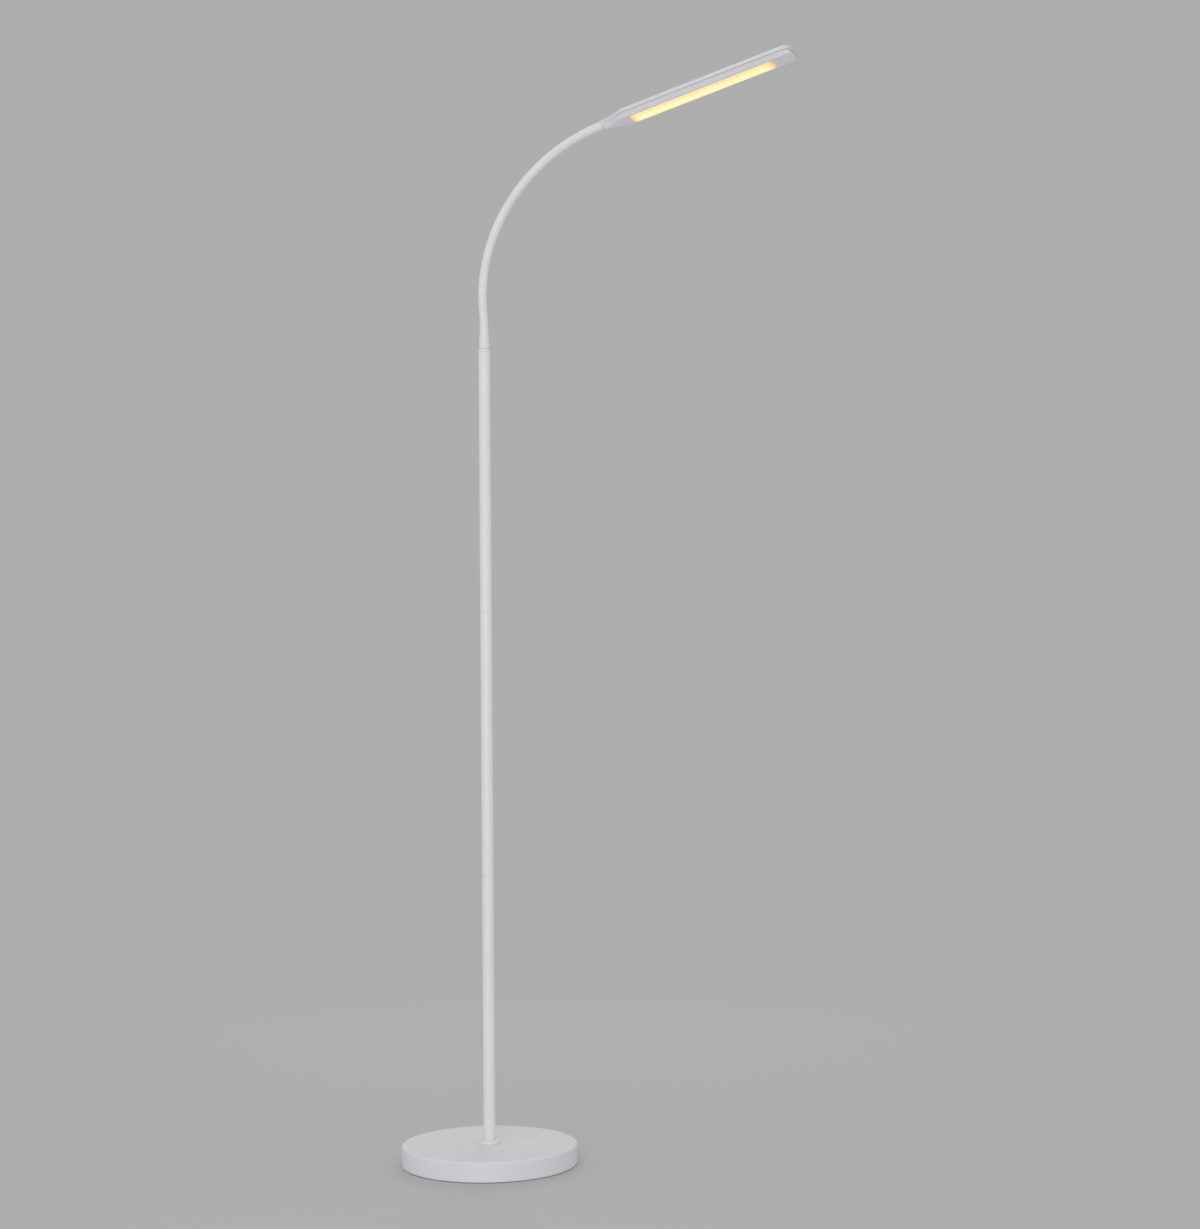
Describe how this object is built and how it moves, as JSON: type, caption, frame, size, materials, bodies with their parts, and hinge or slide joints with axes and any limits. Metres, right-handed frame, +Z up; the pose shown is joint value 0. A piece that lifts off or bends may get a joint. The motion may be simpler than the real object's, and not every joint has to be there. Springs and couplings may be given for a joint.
{
  "type": "gooseneck floor lamp",
  "caption": "White floor lamp: weighted round base, straight sectioned post, and a bendable sleeved gooseneck holding a slim flat LED head that lights from its underside.",
  "frame": {"origin": "centre of the floor pad's underside, on the floor", "axes": "+Z up along the post, +X the way the head reaches at rest, +Y towards the cord grommet at the rear"},
  "size_m": [0.5508, 0.2315, 1.4271],
  "materials": {
    "white_coat": "satin",
    "white_plastic": "satin",
    "white_silicone": "matte",
    "button_grey": "satin",
    "diffuser_warm": "matte",
    "led_yellow": "gloss",
    "board_white": "matte",
    "board_green": "satin",
    "black_plastic": "matte",
    "black_rubber": "matte",
    "lead_sheath": "matte",
    "steel": "satin",
    "aluminium": "satin",
    "brass": "satin",
    "iron": "matte"
  },
  "bodies": {
    "stand": {"base_pad": "black_rubber", "base_plate": "steel", "base_weight": "iron", "base_cover": "white_coat", "base_screws": "steel", "base_nipple": "brass", "base_washer": "steel", "base_nut": "steel", "cord_grommet": "black_rubber", "post_collar": "white_plastic", "lower_post": "white_coat", "middle_post": "white_coat", "upper_post": "white_coat", "post_inserts": "brass", "post_joiners": "steel", "post_lead": "lead_sheath", "post_cap": "white_coat", "neck_socket": "white_coat", "neck_root": "steel"},
    "neck_1": {"neck_link_1": "steel", "neck_sleeve_1": "white_silicone"},
    "neck_2": {"neck_link_2": "steel", "neck_sleeve_2": "white_silicone"},
    "neck_3": {"neck_link_3": "steel", "neck_sleeve_3": "white_silicone"},
    "neck_4": {"neck_link_4": "steel", "neck_sleeve_4": "white_silicone"},
    "neck_5": {"neck_link_5": "steel", "neck_sleeve_5": "white_silicone"},
    "neck_6": {"neck_link_6": "steel", "neck_sleeve_6": "white_silicone"},
    "neck_7": {"neck_link_7": "steel", "neck_sleeve_7": "white_silicone"},
    "neck_8": {"neck_link_8": "steel", "neck_sleeve_8": "white_silicone"},
    "neck_9": {"neck_link_9": "steel", "neck_sleeve_9": "white_silicone"},
    "neck_10": {"neck_link_10": "steel", "neck_sleeve_10": "white_silicone"},
    "head": {"neck_tip": "steel", "neck_ferrule": "white_plastic", "neck_nut": "steel", "head_top_shell": "white_plastic", "head_bottom_cover": "white_plastic", "diffuser": "diffuser_warm", "led_board": "board_white", "leds": "led_yellow", "heat_spreader": "aluminium", "board_screws": "steel", "control_board": "board_green", "push_switch": "black_plastic", "head_lead": "lead_sheath", "neck_sleeve_11": "white_silicone"},
    "button": {"power_button": "button_grey"}
  },
  "joints": [
    {"name": "neck_bend_1", "type": "hinge", "parent": "stand", "child": "neck_1", "pos_m": [0, 0, 1.11325], "axis": [0, 1, 0], "range_deg": [-19, 29], "deforming": ["neck_sleeve_1"]},
    {"name": "neck_sway_2", "type": "hinge", "parent": "neck_1", "child": "neck_2", "pos_m": [-0.00275, 0, 1.14463], "axis": [1, 0, 0.0087], "range_deg": [-20, 20], "deforming": ["neck_sleeve_2"]},
    {"name": "neck_bend_3", "type": "hinge", "parent": "neck_2", "child": "neck_3", "pos_m": [-0.00055, 0, 1.17605], "axis": [0, 1, 0], "range_deg": [-32.8, 15.2], "deforming": ["neck_sleeve_3"]},
    {"name": "neck_sway_4", "type": "hinge", "parent": "neck_3", "child": "neck_4", "pos_m": [0.00643, 0, 1.20677], "axis": [0.9558, 0, -0.294], "range_deg": [-20, 20], "deforming": ["neck_sleeve_4"]},
    {"name": "neck_bend_5", "type": "hinge", "parent": "neck_4", "child": "neck_5", "pos_m": [0.01792, 0, 1.2361], "axis": [0, 1, 0], "range_deg": [-32.4, 15.6], "deforming": ["neck_sleeve_5"]},
    {"name": "neck_sway_6", "type": "hinge", "parent": "neck_5", "child": "neck_6", "pos_m": [0.03358, 0, 1.26343], "axis": [0.83, 0, -0.5577], "range_deg": [-20, 20], "deforming": ["neck_sleeve_6"]},
    {"name": "neck_bend_7", "type": "hinge", "parent": "neck_6", "child": "neck_7", "pos_m": [0.05297, 0, 1.28826], "axis": [0, 1, 0], "range_deg": [-32, 16], "deforming": ["neck_sleeve_7"]},
    {"name": "neck_sway_8", "type": "hinge", "parent": "neck_7", "child": "neck_8", "pos_m": [0.07563, 0, 1.31014], "axis": [0.6441, 0, -0.7649], "range_deg": [-20, 20], "deforming": ["neck_sleeve_8"]},
    {"name": "neck_bend_9", "type": "hinge", "parent": "neck_8", "child": "neck_9", "pos_m": [0.10105, 0, 1.32874], "axis": [0, 1, 0], "range_deg": [-31.6, 16.4], "deforming": ["neck_sleeve_9"]},
    {"name": "neck_sway_10", "type": "hinge", "parent": "neck_9", "child": "neck_10", "pos_m": [0.12871, 0, 1.34382], "axis": [0.421, 0, -0.907], "range_deg": [-20, 20], "deforming": ["neck_sleeve_10"]},
    {"name": "neck_bend_11", "type": "hinge", "parent": "neck_10", "child": "head", "pos_m": [0.15807, 0, 1.35521], "axis": [0, 1, 0], "range_deg": [-31.2, 16.8], "deforming": ["neck_sleeve_11"]},
    {"name": "power_button_press", "type": "slide", "parent": "head", "child": "button", "axis": [0.2419, 0, -0.9703], "range_m": [0, 0.0008], "stiffness_N_per_m": 600, "springref_m": -0.0008}
  ]
}
